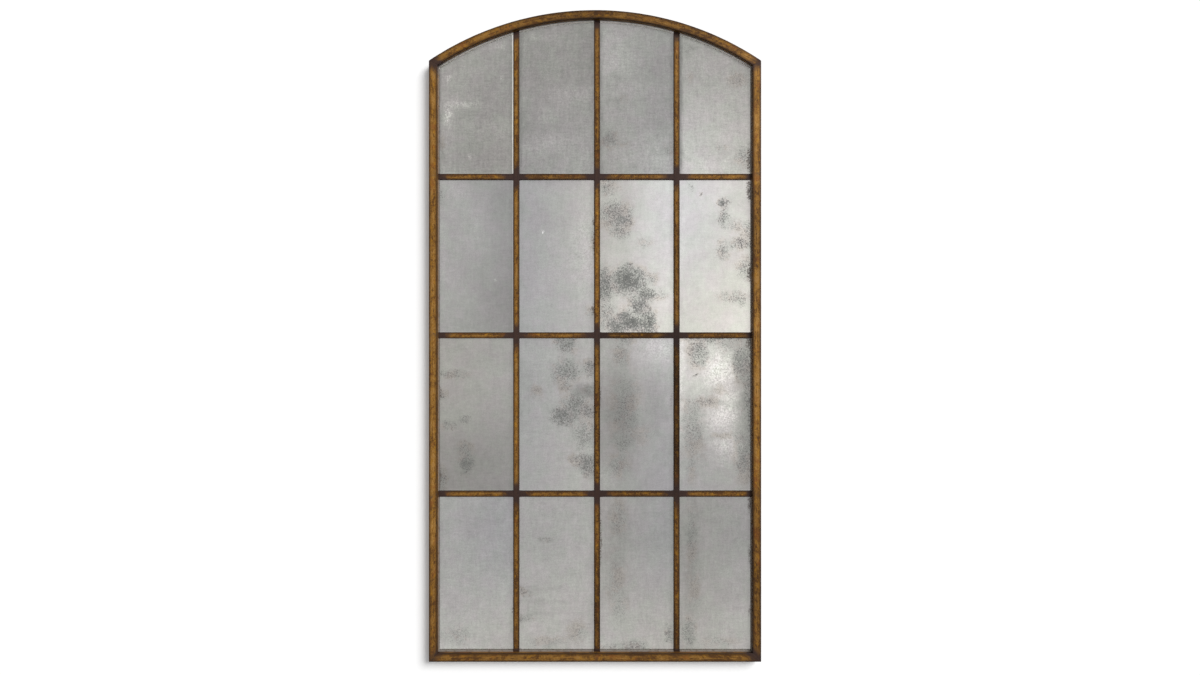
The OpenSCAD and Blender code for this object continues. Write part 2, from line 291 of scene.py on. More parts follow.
class Finish:
    """One material while it is put together.

    The keywords are constants for its shader's own sockets.
    """

    def __init__(self, name, **constants):
        self.material = bpy.data.materials.new(name)
        self.material.use_nodes = True
        self.tree = self.material.node_tree
        self.shader = self.tree.nodes["Principled BSDF"]
        for socket, value in constants.items():
            self.shader.inputs[socket.replace("_", " ")].default_value = value

    def node(self, kind, settings=None, sockets=None, output=0):
        """Adds a node, sets it, gives its sockets values or links, and returns one of its outputs."""
        made = self.tree.nodes.new("ShaderNode" + kind)
        for setting, value in (settings or {}).items():
            setattr(made, setting, value)
        for socket, value in (sockets or {}).items():
            self.put(made.inputs[socket], value)
        return Value(self, made.outputs[output])

    def put(self, socket, value):
        """Links a Value to a socket or sets a constant there.

        A vector socket takes the first three numbers of a colour.
        """
        if isinstance(value, Value):
            self.tree.links.new(value.socket, socket)
        elif socket.type == "VECTOR":
            socket.default_value = value[:3]
        else:
            socket.default_value = value

    def wear(self, **links):
        """Links what varies over the surface to the shader."""
        for socket, value in links.items():
            self.put(self.shader.inputs[socket.replace("_", " ")], value)
        return self

    def maths(self, operation, first, second=0.0):
        return self.node("Math", {"operation": operation}, {0: first, 1: second})

    def most(self, first, second):
        return self.maths("MAXIMUM", first, second)

    def least(self, first, second):
        return self.maths("MINIMUM", first, second)

    def ease(self, value, start, end):
        """0 at start and before it, 1 at end and past it, and smooth between.

        start may be the larger of the two.
        """
        sockets = {"Value": value, "From Min": start, "From Max": end}
        return self.node("MapRange", {"interpolation_type": "SMOOTHSTEP"}, sockets)

    def mix(self, share, first, second):
        """A colour that goes from first to second."""
        return self.node("Mix", {"data_type": "RGBA"}, {0: share, 6: first, 7: second}, 2)

    def shaded(self, colour, factor):
        """A colour times a number."""
        return self.node("VectorMath", {"operation": "SCALE"}, {0: colour, "Scale": factor})

    def place(self):
        return self.node("TexCoord", output="Object")

    def moved(self, vector, shift=(0, 0, 0), scale=(1, 1, 1)):
        return self.node("Mapping", {}, {"Vector": vector, "Location": shift, "Scale": scale})

    def parts(self, vector):
        """The three numbers of a vector."""
        split = self.node("SeparateXYZ", {}, {0: vector})
        return [Value(self, output) for output in split.socket.node.outputs]

    def attribute(self, name, output):
        return self.node("Attribute", {"attribute_name": name}, output=output)

    def noise(self, vector, size, detail=2.0, roughness=0.5, output=0):
        """Noise about 0.5 whose patches are about size across."""
        sockets = {"Vector": vector, "Scale": 1 / size, "Detail": detail, "Roughness": roughness}
        return self.node("TexNoise", {}, sockets, output)

    def bump(self, height, distance, strength=1.0):
        return self.node("Bump", {}, {"Strength": strength, "Distance": distance, "Height": height})


def rgb(red, green, blue):
    return (red, green, blue, 1.0)


GOLD = rgb(0.262, 0.126, 0.024)
HONEY = rgb(0.38, 0.200, 0.055)
AMBER = rgb(0.39, 0.182, 0.018)
UMBER = rgb(0.094, 0.041, 0.012)
RUST = rgb(0.215, 0.074, 0.017)
EDGE_DARK = rgb(0.038, 0.018, 0.007)
SMOKE = rgb(0.036, 0.021, 0.019)
PUTTY = rgb(0.25, 0.22, 0.195)
STEEL = rgb(0.37, 0.36, 0.35)


# Heights between which the darkening towards the bottom fades in, and its strength
LOW_DARK_TOP = 0.44
LOW_DARK_FULL = 0.22
LOW_DARK = 0.2


def antique_metal(name, depth):
    """Gold-brown paint rubbed over dark metal.

    Honey lies on gold on umber in cloudy patches, with streaks along the bar, rust stains,
    smoke-dark joints and darker edges. depth from 0 to 1 says how much umber shows.
    """
    finish = Finish(name, Metallic=0.3, Specular_IOR_Level=0.14)
    lie = finish.attribute("lie", "Vector")
    smoke = finish.attribute("smoke", "Fac")
    rim = finish.attribute("rim", "Fac")
    age = finish.attribute("age", "Fac")
    height = finish.parts(finish.place())[2]
    clouds = finish.noise(lie, 75 * MM, 3.0, 0.6) - 0.5
    mottle = finish.noise(lie, 13 * MM, 3.0, 0.65) - 0.5
    grain = finish.noise(lie, 3.4 * MM, 2.0, 0.6) - 0.5
    streaks = finish.noise(finish.moved(lie, scale=(0.08, 1, 1)), 4.5 * MM, 2.0, 0.55) - 0.5
    stains = finish.noise(finish.moved(lie, shift=(5.3, 0, 0)), 42 * MM, 3.0, 0.65)
    flares = finish.noise(finish.moved(lie, shift=(8.9, 0, 0), scale=(0.6, 1, 1)), 14 * MM, 3.0, 0.65)

    # Darker towards the bottom
    low_dark = finish.ease(height, LOW_DARK_TOP, LOW_DARK_FULL) * LOW_DARK
    rubbed = clouds * 1.7 + mottle * 2.0 + streaks * 1.8 + grain * 1.3 + 0.56 - 0.34 * depth
    rubbed = rubbed - low_dark - age * 0.3
    body = finish.mix(finish.ease(rubbed, 0.0, 0.60), UMBER, GOLD)
    body = finish.mix(finish.ease(rubbed, 0.56, 1.06), body, HONEY)
    body = finish.mix(finish.ease(stains, 0.53, 0.68) * 0.65, body, RUST)
    body = finish.mix(finish.ease(flares, 0.54, 0.66) * 0.6, body, AMBER)
    # Darker along the edges
    edge = rim + mottle * 0.7 + streaks * 0.8 - 0.02
    body = finish.mix(edge, body, EDGE_DARK)
    char = finish.ease(smoke + mottle * 1.3 + grain * 0.6, 0.12, 0.85)
    body = finish.mix(char * 0.95, body, SMOKE)
    body = finish.shaded(body, 1 + grain * 0.6 - low_dark * 0.6 - age * 0.52)
    relief = mottle * 0.5 + grain * 0.4 + streaks * 0.3
    return finish.wear(
        Base_Color=body,
        Roughness=0.42 + mottle * 0.3 + char * 0.1,
        Normal=finish.bump(relief, 0.5 * MM, 0.6),
    )


# Heights between which the stop strips go from primer to a lighter metal, painted light for the light
# bounced up from the glass under the arch, and depths between which their front edge gives way to
# their sides, which carry a painted highlight
LIT_UNDER_ARCH_FROM = 1.90
LIT_UNDER_ARCH_TO = 1.93
CUT_FROM = STRIP_FRONT + 0.2 * MM
CUT_TO = STRIP_FRONT + 0.6 * MM


def strip_paint(name):
    """Dull grey-brown primer on the stop strips, scuffed darker.

    Under the arch they are a lighter metal, painted light for the light bounced up from the glass, and
    a painted highlight makes their sides brighter than their front edge.
    """
    finish = Finish(name, Specular_IOR_Level=0.3)
    place = finish.place()
    _, y, z = finish.parts(place)
    # Lighter metal under the arch: painted light, for light bounced up from the glass
    lit_under_arch = finish.ease(z, LIT_UNDER_ARCH_FROM, LIT_UNDER_ARCH_TO)
    # Painted highlight on the strips' sides
    side_highlight = finish.ease(y, CUT_FROM, CUT_TO)
    scuffs = finish.noise(place, 14 * MM, 4.0, 0.65)
    grain = finish.noise(place, 2.5 * MM, 2.0, 0.6)
    body = finish.mix(finish.ease(scuffs, 0.48, 0.70) * 0.6, PUTTY, UMBER)
    body = finish.mix(lit_under_arch, body, finish.shaded(STEEL, (0.6 + scuffs * 0.5) * (1 + side_highlight * 1.5)))
    body = finish.shaded(body, 0.85 + grain * 0.3)
    return finish.wear(
        Base_Color=body,
        Metallic=0.2 + lit_under_arch * 0.75,
        Roughness=0.45 + scuffs * 0.2 - lit_under_arch * side_highlight * 0.25,
        Normal=finish.bump(grain, 0.2 * MM, 0.6),
    )


# Tones of the antiqued glass, dark to light, as shares of the light that it gives back; they hold both
# the silvering's own tone and a painted reflection of the pale studio

DARK = 0.245
MURKY = 0.27
DIM = 0.29
SOFT = 0.315
PLAIN = 0.34
FAIR = 0.37
MILD = 0.41
CLEAR = 0.435
LIGHT = 0.475
PALE = 0.545
BRIGHT = 0.655
BLANK = 0.725

FOX = rgb(0.105, 0.110, 0.100)
BROWN_FOX = rgb(0.118, 0.100, 0.097)
PIT = rgb(0.050, 0.042, 0.041)
SCORCH = rgb(0.056, 0.034, 0.022)
OCHRE = rgb(1.04, 0.95, 0.79)
MOSS_SILVER = rgb(0.985, 1.002, 0.965)
LILAC_SILVER = rgb(1.018, 0.976, 0.995)
COLD_SILVER = rgb(0.99, 1.00, 1.020)
WARM_SILVER = rgb(1.018, 0.998, 0.925)

Spot = namedtuple("Spot", "x z wide tall strength")
Pane = namedtuple(
    "Pane", "head foot cast fox glow shade scorch veil glint", defaults=((), (), (), (), 0.4, 0.0)
)

# Each pane's tone at the left and right of its head and foot, which holds the silvering's own tone and
# a painted reflection of the pale studio, how warm each of those corners is, and its marks. A spot's
# place is in millimetres from the pane's lower left corner, with its half width, half height and
# strength. fox is speckled tarnish, glow and shade are painted reflections of light and dark with some
# of the silvering's own clouding, and scorch is burnt silver at an edge. veil is how milky the grain
# is, and glint the strength of a painted highlight along the right edge.
PANES = {
    (1, 1): Pane(
        (SOFT, DIM), (SOFT, MURKY), (0.85, 0.75, 0.75, 0.90),
        fox=[Spot(12, 86, 14, 60, 0.3)],
        glow=[
            Spot(32, 192, 14, 42, 0.6), Spot(74, 223, 70, 14, 0.32), Spot(32, 307, 14, 12, 0.35),
            Spot(193, 419, 22, 18, 0.25), Spot(204, 312, 9, 16, 0.35), Spot(63, 270, 60, 80, 0.05),
            Spot(188, 145, 90, 40, 0.10), Spot(105, 60, 8, 8, 0.3),
        ],
        shade=[
            Spot(107, 190, 80, 14, 0.10), Spot(110, 50, 60, 60, 0.07), Spot(150, 240, 50, 90, 0.06),
        ],
        veil=1.0, glint=1.0,
    ),
    (1, 2): Pane(
        (MURKY, MURKY), (DIM, SOFT), (0.75, 0.75, 0.50, 0.55),
        glow=[
            Spot(67, 442, 60, 16, 0.16), Spot(177, 255, 84, 40, 0.13), Spot(98, 197, 60, 34, 0.08),
            Spot(98, 99, 120, 44, 0.12), Spot(203, 52, 70, 50, 0.07), Spot(16, 420, 16, 40, 0.10),
        ],
        shade=[
            Spot(62, 143, 70, 40, 0.10), Spot(216, 400, 40, 90, 0.08), Spot(56, 376, 60, 50, 0.05),
        ],
        veil=1.0,
    ),
    (1, 3): Pane(
        (PLAIN, MURKY), (SOFT, FAIR), (0.60, 0.50, 0.65, 0.30),
        fox=[
            Spot(30, 109, 34, 38, 0.62), Spot(76, 94, 30, 14, 0.35), Spot(53, 311, 40, 16, 0.3),
            Spot(53, 240, 40, 20, 0.32), Spot(221, 76, 26, 28, 0.42),
        ],
        glow=[
            Spot(48, 357, 80, 50, 0.12), Spot(50, 430, 60, 40, 0.06), Spot(183, 63, 110, 70, 0.10),
            Spot(48, 60, 60, 50, 0.06), Spot(110, 270, 60, 30, 0.08),
        ],
        shade=[
            Spot(196, 196, 80, 100, 0.12), Spot(120, 150, 80, 60, 0.06),
            Spot(200, 320, 60, 90, 0.06),
        ],
        veil=0.95,
    ),
    (1, 4): Pane(
        (PLAIN, PLAIN), (PALE, LIGHT), (0.70, 0.80, 0.50, 0.85),
        fox=[
            Spot(185, 306, 44, 34, 0.5), Spot(133, 86, 40, 18, 0.32), Spot(202, 55, 34, 46, 0.5),
            Spot(31, 408, 26, 26, 0.3), Spot(26, 309, 26, 26, 0.25),
        ],
        glow=[Spot(103, 30, 150, 36, 0.08), Spot(60, 350, 60, 40, 0.06)],
        shade=[Spot(205, 320, 44, 60, 0.12), Spot(31, 408, 30, 30, 0.08)],
        scorch=[Spot(228, 48, 14, 56, 0.8)],
        veil=0.8,
    ),
    (2, 1): Pane(
        (FAIR, DIM), (PLAIN, MURKY), (0.45, 0.30, 0.55, 0.50),
        fox=[Spot(10, 440, 24, 54, 0.3)],
        glow=[
            Spot(73, 450, 60, 40, 0.06), Spot(120, 330, 50, 90, 0.05), Spot(14, 240, 20, 200, 0.05),
            Spot(176, 169, 6, 8, 0.3),
        ],
        shade=[Spot(203, 100, 70, 120, 0.07), Spot(200, 430, 50, 60, 0.06)],
        glint=0.2,
    ),
    (2, 2): Pane(
        (PLAIN, CLEAR), (FAIR, CLEAR), (0.10, 0.65, 0.10, 0.50),
        fox=[Spot(236, 300, 14, 60, 0.35), Spot(232, 70, 18, 34, 0.4)],
        glow=[
            Spot(215, 260, 70, 170, 0.16), Spot(72, 328, 6, 6, 0.8), Spot(120, 230, 80, 110, 0.06),
            Spot(100, 450, 90, 30, 0.04),
        ],
        scorch=[Spot(238, 354, 6, 14, 0.6), Spot(240, 285, 7, 60, 0.5), Spot(239, 80, 8, 26, 0.6)],
    ),
    (2, 3): Pane(
        (LIGHT, BRIGHT), (PALE, BLANK), (0.80, 0.20, 0.80, 0.85),
        fox=[
            Spot(23, 469, 44, 40, 0.45), Spot(74, 361, 40, 32, 0.8), Spot(52, 380, 66, 58, 0.6),
            Spot(69, 326, 40, 30, 0.55), Spot(18, 383, 30, 40, 0.4), Spot(88, 168, 66, 52, 1.15),
            Spot(94, 212, 26, 28, 0.6), Spot(13, 152, 34, 66, 0.85), Spot(149, 122, 46, 28, 0.85),
            Spot(124, 91, 38, 38, 0.95), Spot(159, 172, 36, 22, 0.4), Spot(84, 52, 34, 24, 0.85),
            Spot(104, 26, 58, 34, 1.1), Spot(159, 30, 34, 50, 0.95), Spot(52, 20, 42, 38, 0.85),
            Spot(149, 58, 24, 40, 0.7), Spot(143, 288, 40, 20, 0.3), Spot(190, 118, 44, 24, 0.35),
            Spot(20, 60, 50, 60, 0.45), Spot(110, 60, 70, 40, 0.4),
        ],
        glow=[Spot(38, 92, 46, 40, 0.10)],
        shade=[Spot(13, 150, 40, 160, 0.05)],
        veil=0.35,
    ),
    (2, 4): Pane(
        (BRIGHT, BRIGHT), (BRIGHT, BLANK), (0.20, 0.80, 0.90, 1.20),
        fox=[
            Spot(139, 417, 27, 22, 1.0), Spot(144, 374, 24, 42, 0.55), Spot(39, 460, 8, 14, 0.45),
            Spot(73, 451, 6, 6, 0.9), Spot(139, 268, 28, 42, 0.55), Spot(200, 288, 44, 24, 0.6),
            Spot(168, 114, 66, 22, 0.42), Spot(200, 110, 20, 30, 0.5), Spot(179, 345, 40, 30, 0.35),
            Spot(212, 205, 36, 50, 0.5), Spot(215, 330, 30, 40, 0.4),
        ],
        glow=[Spot(4, 240, 14, 300, 0.06), Spot(222, 120, 26, 110, 0.08)],
        shade=[Spot(114, 330, 90, 90, 0.05), Spot(200, 440, 60, 60, 0.08)],
        scorch=[
            Spot(229, 462, 16, 50, 0.95), Spot(229, 188, 14, 34, 0.95), Spot(230, 290, 8, 36, 0.6),
        ],
        veil=0.25,
    ),
    (3, 1): Pane(
        (PLAIN, PLAIN), (DARK, DARK), (0.95, 0.70, 0.90, 0.70),
        fox=[
            Spot(86, 92, 28, 40, 0.8), Spot(84, 136, 32, 32, 0.45), Spot(86, 233, 28, 24, 0.45),
            Spot(30, 210, 44, 18, 0.42), Spot(40, 376, 76, 20, 0.42), Spot(12, 311, 22, 24, 0.5),
            Spot(12, 40, 20, 50, 0.45),
        ],
        shade=[Spot(120, 120, 140, 80, 0.07)],
        scorch=[Spot(1, 311, 10, 26, 0.9), Spot(0, 40, 11, 56, 0.8)],
    ),
    (3, 2): Pane(
        (PLAIN, MILD), (PLAIN, MILD), (0.20, 0.55, 0.30, 0.65),
        fox=[
            Spot(150, 474, 42, 40, 0.66), Spot(150, 384, 60, 48, 0.60),
            Spot(150, 334, 30, 26, 0.45), Spot(57, 320, 30, 32, 0.35), Spot(140, 242, 50, 34, 0.85),
            Spot(180, 272, 50, 54, 0.7), Spot(218, 258, 40, 34, 0.65), Spot(227, 394, 22, 36, 0.7),
            Spot(208, 180, 48, 68, 0.5), Spot(220, 86, 46, 46, 0.75), Spot(176, 102, 26, 26, 0.48),
            Spot(225, 320, 36, 30, 0.3),
        ],
        glow=[Spot(232, 140, 14, 30, 0.12), Spot(60, 420, 60, 60, 0.04)],
        shade=[Spot(212, 321, 48, 30, 0.42), Spot(190, 255, 56, 50, 0.06)],
        veil=0.5,
    ),
    (3, 3): Pane(
        (FAIR, LIGHT), (SOFT, SOFT), (0.65, 0.30, 0.65, 0.10),
        fox=[
            Spot(68, 437, 36, 56, 0.42), Spot(80, 488, 44, 20, 0.45), Spot(80, 255, 66, 160, 0.40),
            Spot(76, 155, 50, 40, 0.40), Spot(60, 80, 50, 50, 0.40), Spot(140, 180, 60, 50, 0.25),
        ],
        glow=[
            Spot(190, 470, 90, 70, 0.22), Spot(14, 40, 40, 50, 0.10), Spot(20, 420, 30, 80, 0.06),
        ],
        shade=[
            Spot(0, 289, 20, 60, 0.26), Spot(179, 280, 80, 140, 0.26), Spot(64, 255, 90, 190, 0.34),
        ],
        scorch=[Spot(0, 300, 5, 50, 0.5), Spot(230, 302, 5, 60, 0.4)],
        veil=0.45,
    ),
    (3, 4): Pane(
        (BRIGHT, LIGHT), (PLAIN, PLAIN), (0.75, 0.90, 0.40, 0.65),
        fox=[
            Spot(59, 447, 42, 66, 0.62), Spot(50, 370, 6, 6, 0.9), Spot(105, 493, 130, 22, 0.60),
            Spot(150, 470, 60, 30, 0.4), Spot(200, 412, 32, 74, 0.7), Spot(222, 300, 22, 200, 0.45),
            Spot(190, 440, 26, 30, 0.6), Spot(76, 286, 84, 24, 0.44), Spot(140, 176, 60, 14, 0.36),
            Spot(122, 322, 50, 18, 0.3), Spot(42, 190, 50, 150, 0.38), Spot(205, 113, 40, 110, 0.5),
            Spot(39, 90, 24, 100, 0.3),
        ],
        glow=[
            Spot(128, 395, 60, 90, 0.50), Spot(145, 240, 70, 60, 0.40),
            Spot(160, 150, 60, 70, 0.34), Spot(0, 300, 20, 300, 0.22), Spot(60, 340, 50, 60, 0.12),
            Spot(200, 425, 20, 50, 0.35), Spot(152, 312, 44, 64, 0.34),
        ],
        shade=[Spot(212, 290, 36, 260, 0.30), Spot(40, 240, 60, 170, 0.20)],
        scorch=[
            Spot(226, 480, 18, 40, 0.8), Spot(64, 505, 100, 9, 0.6), Spot(232, 150, 7, 200, 0.4),
        ],
        veil=0.5,
    ),
    (4, 1): Pane(
        (PLAIN, SOFT), (MILD, MILD), (0.40, 0.05, 0.65, 0.85),
        fox=[Spot(60, 50, 70, 40, 0.3)],
        glow=[Spot(60, 12, 110, 18, 0.10), Spot(226, 150, 30, 60, 0.05)],
        shade=[Spot(140, 430, 100, 80, 0.04)],
        scorch=[Spot(245, 150, 8, 60, 0.6)],
        veil=0.6,
    ),
    (4, 2): Pane(
        (PLAIN, FAIR), (MILD, MILD), (0.45, 0.55, 0.80, 0.80),
        fox=[
            Spot(84, 359, 26, 12, 0.45), Spot(8, 189, 44, 12, 0.5), Spot(12, 107, 48, 16, 0.45),
            Spot(185, 63, 42, 42, 0.4), Spot(5, 15, 5, 5, 0.9), Spot(90, 30, 110, 26, 0.3),
        ],
        shade=[
            Spot(60, 200, 110, 10, 0.10), Spot(90, 160, 130, 8, 0.10), Spot(50, 120, 90, 8, 0.10),
        ],
        veil=0.6,
    ),
    (4, 3): Pane(
        (SOFT, DIM), (MILD, MILD), (0.75, 0.15, 0.75, 0.95),
        fox=[
            Spot(58, 430, 34, 100, 0.38), Spot(49, 240, 44, 120, 0.33), Spot(109, 14, 66, 26, 0.48),
            Spot(225, 52, 18, 40, 0.55), Spot(60, 140, 40, 70, 0.3), Spot(40, 14, 90, 20, 0.35),
        ],
        glow=[Spot(13, 20, 30, 24, 0.15), Spot(155, 20, 30, 18, 0.15)],
        shade=[Spot(160, 190, 80, 60, 0.05), Spot(54, 330, 44, 210, 0.08)],
        scorch=[Spot(0, 360, 7, 120, 0.6)],
        veil=0.6,
    ),
    (4, 4): Pane(
        (DIM, DIM), (FAIR, MILD), (0.70, 0.50, 0.95, 0.80),
        fox=[
            Spot(39, 359, 26, 130, 0.42), Spot(28, 63, 28, 70, 0.50), Spot(45, 200, 30, 110, 0.30),
            Spot(130, 30, 90, 26, 0.3),
        ],
        glow=[Spot(66, 24, 30, 18, 0.15), Spot(150, 20, 90, 20, 0.06)],
        shade=[Spot(160, 190, 80, 60, 0.05), Spot(34, 300, 40, 180, 0.10)],
        scorch=[Spot(226, 472, 8, 34, 0.7), Spot(226, 313, 7, 34, 0.7), Spot(227, 130, 5, 24, 0.6)],
        veil=0.6,
    ),
}

# How far a pane's noise lies from that of its neighbour in the next column and in the next row
NEXT_COLUMN = 2.3
NEXT_ROW = 1.7

# How far the marks' outlines wander and crumble, in millimetres, and where a spot has faded out, as a
# multiple of its half size
WANDER = 44
CRUMBLE = 26
SPOT_EDGE = 1.4

# Strength of the painted shade along the left and upper edges, in the top row, in its last pane and in
# the rows below, and of the painted shadow of the bar along the right edge
EDGE_SHADE_TOP = 0.25
EDGE_SHADE_TOP_LAST = 0.50
EDGE_SHADE_BELOW = 0.06
BAR_SHADOW = 0.15

# Strength of the painted highlight along the foot, in the top row and in the rows below, of the band
# of painted light under the arch, and of the painted glint along the right edge
FOOT_HIGHLIGHT_TOP = 0.05
FOOT_HIGHLIGHT_BELOW = 0.03
ARCH_LIGHT_BAND = 0.30
GLINT = 0.45


def antique_mirror(row, column):
    """Aged silvering behind glass.

    Its tone eases between the four corners, and clouds, grain and spots are laid on it. The tones and
    glow spots hold a painted reflection of the pale studio as well as the silvering's own tone, and
    painted shade, painted highlights and a painted glint lie along its edges.
    """
    pane = PANES[row, column]
    left, right = LEFTS[column - 1], RIGHTS[column - 1]
    bottom, top = BOTTOMS[row - 1], TOPS[row - 1]
    width, height = (right - left) * 1000, (top - bottom) * 1000
    finish = Finish(f"antique_mirror_{row}_{column}", Coat_Weight=1.0, Coat_Roughness=0.04)
    place = finish.place()
    own = finish.moved(place, shift=(NEXT_COLUMN * column, 0, NEXT_ROW * row))
    x, _, z = finish.parts(place)
    across = (x - left) * 1000
    up = (z - bottom) * 1000

    wander = finish.parts(finish.noise(own, 40 * MM, 3.0, 0.6, output=1))
    crumble = finish.parts(finish.noise(own, 11 * MM, 2.0, 0.6, output=1))
    bent_x = across + (wander[0] - 0.5) * WANDER + (crumble[0] - 0.5) * CRUMBLE
    bent_z = up + (wander[2] - 0.5) * WANDER + (crumble[2] - 0.5) * CRUMBLE

    def field(spots, along_x, along_z):
        """The strongest of some soft ellipses."""
        total = 0.0
        for spot in spots:
            over = (along_x - spot.x) * (1 / spot.wide)
            above = (along_z - spot.z) * (1 / spot.tall)
            far = finish.maths("SQRT", over * over + above * above)
            total = finish.most(finish.ease(far, SPOT_EDGE, 0.0) * spot.strength, total)
        return total

    cloud = finish.noise(own, 110 * MM, 3.0, 0.55) - 0.5
    wide = finish.moved(own, shift=(0, 6, 0), scale=(0.8, 1, 1))
    patch = finish.noise(wide, 22 * MM, 3.0, 0.6) - 0.5
    upright = finish.moved(own, scale=(1, 1, 0.22))
    flow = finish.noise(upright, 8 * MM, 3.0, 0.6) - 0.5
    level = finish.moved(own, shift=(0, 2, 0), scale=(0.22, 1, 1))
    weft = finish.noise(level, 6 * MM, 3.0, 0.6) - 0.5
    grain = finish.noise(own, 3.4 * MM, 3.0, 0.65) - 0.5
    speck = finish.noise(finish.moved(own, shift=(0, 9, 0)), 4.4 * MM, 3.0, 0.8) - 0.5
    pepper = finish.noise(finish.moved(own, shift=(0, 12, 0)), 4.0 * MM, 2.0, 0.7) - 0.5
    hue = finish.noise(finish.moved(own, shift=(0, 4, 0)), 60 * MM, 4.0, 0.7)

    sideways = finish.ease(across, 0.0, width)
    sunk = finish.ease(up, height * 0.8, 0.0)

    def between(head_left, head_right, foot_left, foot_right):
        """A number that eases between its values at the four corners."""
        head = sideways * (head_right - head_left) + head_left
        foot = sideways * (foot_right - foot_left) + foot_left
        return head + sunk * (foot - head)

    # The corner tones hold the silvering's own tone and a painted reflection of the pale studio
    tone = between(*pane.head, *pane.foot)
    veil = pane.veil
    weave = (flow + weft) * (0.08 + 0.34 * veil)
    tone = tone * (1 + cloud * 0.28 + patch * 0.22 + weave + grain * (0.18 + 0.55 * veil))
    # glow spots are painted reflected light and shade spots painted reflected dark, with some real
    # clouding
    glow = field(pane.glow, bent_x, bent_z)
    tone = tone * (1 + glow * (1 + speck * 8.0)) * (1 - field(pane.shade, bent_x, bent_z))
    foxed = field(pane.fox, bent_x, bent_z)
    tone = tone * (1 - foxed * 0.14)

    if row == 1:
        above_centre = z - ARCH_CENTRE_Z
        head_gap = ARCH_INNER_R - finish.maths("SQRT", x * x + above_centre * above_centre)
        edge_shade_strength = EDGE_SHADE_TOP_LAST if column == COLUMNS else EDGE_SHADE_TOP
        foot_highlight = FOOT_HIGHLIGHT_TOP
    else:
        head_gap = top - z
        edge_shade_strength = EDGE_SHADE_BELOW
        foot_highlight = FOOT_HIGHLIGHT_BELOW
    edge_gap = finish.least(x - left, head_gap)
    # Painted shade along the left and upper edges, and the bar's painted shadow along the right edge
    edge_shade = finish.ease(edge_gap + flow * (12 * MM), 16 * MM, 0.0) * edge_shade_strength
    bar_shadow = finish.ease(right - x + flow * (6 * MM), 20 * MM, 0.0) * BAR_SHADOW
    tone = tone * (1 - finish.most(edge_shade, bar_shadow))
    # Painted highlight along the foot
    tone = tone + finish.ease(z - bottom, 5 * MM, 2 * MM) * foot_highlight
    if row == 1:
        # Painted light in a band just under the arch
        tone = tone + finish.ease(head_gap + flow * (2 * MM), 8.4 * MM, 6.0 * MM) * ARCH_LIGHT_BAND
    if pane.glint:
        # Painted glint along the right edge
        painted_glint = finish.ease(right - x + flow * (4 * MM), 4.4 * MM, 2.0 * MM)
        tone = tone + painted_glint * (GLINT * pane.glint)

    silver = finish.mix(finish.ease(hue, 0.36, 0.64), MOSS_SILVER, LILAC_SILVER)
    warmth = finish.mix(between(*pane.cast), COLD_SILVER, WARM_SILVER)
    silver = finish.node("VectorMath", {"operation": "MULTIPLY"}, {0: silver, 1: warmth})
    colour = finish.shaded(silver, tone)
    density = foxed * 1.17 + (speck * 4.4 + grain * 2.4) * (foxed * 0.7 + 0.45)
    tarnish = finish.ease(density, 0.20, 1.22) * finish.ease(foxed, 0.0, 0.16)
    halo = finish.ease(foxed, 0.02, 0.3) * finish.ease(foxed, 0.8, 0.3) * finish.ease(hue, 0.46, 0.60)
    colour = finish.mix(halo * 0.45, colour, finish.shaded(OCHRE, tone))
    browned = finish.ease(foxed, 0.75, 0.35) * finish.ease(hue, 0.42, 0.56)
    stained = finish.mix(browned, FOX, BROWN_FOX)
    stained = finish.shaded(stained, 1.30 - foxed * 0.45 + grain * 1.8 + speck * 1.2)
    colour = finish.mix(tarnish * 0.92, colour, stained)
    pits = finish.ease(pepper, 0.05, 0.12) * finish.ease(foxed, 0.05, 0.50)
    colour = finish.mix(pits * (1 - 0.6 * veil), colour, PIT)
    scorched = field(pane.scorch, bent_x * 0.35 + across * 0.65, bent_z)
    burnt = finish.ease(scorched * 1.1 + speck * 3.4 + grain * 1.5, 0.15, 1.05)
    burnt = burnt * finish.ease(scorched, 0.0, 0.4)
    colour = finish.mix(burnt * 0.9, colour, SCORCH)
    loss = finish.most(tarnish, burnt)
    return finish.wear(
        Base_Color=colour,
        Metallic=0.9 - loss * 0.5 - pits * 0.25,
        Roughness=0.15 + grain * 0.1 + loss * 0.25,
        Normal=finish.bump(cloud * 4 + flow * 0.3 + tarnish * 0.1, 0.4 * MM, 0.4),
    )


ZINC_DULL = rgb(0.34, 0.34, 0.325)
ZINC_PALE = rgb(0.56, 0.56, 0.55)
OXIDE = rgb(0.26, 0.245, 0.21)
FIBRE_DARK = rgb(0.030, 0.022, 0.017)
FIBRE_PALE = rgb(0.082, 0.060, 0.045)
BARE_FIBRE = rgb(0.15, 0.115, 0.085)
DUST = rgb(0.075, 0.070, 0.064)


def zinc_plate(name, size):
    """Plated steel: pale crystals about size across, fine rubbing marks and a little dull oxide."""
    finish = Finish(name, Metallic=0.92)
    place = finish.place()
    sockets = {"Vector": place, "Scale": 1 / size}
    crystals = finish.node("TexVoronoi", {"voronoi_dimensions": "3D"}, sockets, "Color")
    crystal = finish.parts(crystals)[0]
    rubbed = finish.noise(finish.moved(place, scale=(1, 1, 0.12)), 0.7 * MM, 2.0, 0.6)
    oxide = finish.ease(finish.noise(place, 9 * MM, 3.0, 0.65), 0.50, 0.72)
    body = finish.mix(crystal * 0.6 + rubbed * 0.4, ZINC_DULL, ZINC_PALE)
    body = finish.mix(oxide * 0.55, body, OXIDE)
    return finish.wear(
        Base_Color=body,
        Roughness=0.28 + rubbed * 0.14 + oxide * 0.2,
        Normal=finish.bump(rubbed + oxide * 0.5, 0.08 * MM, 0.5),
    )


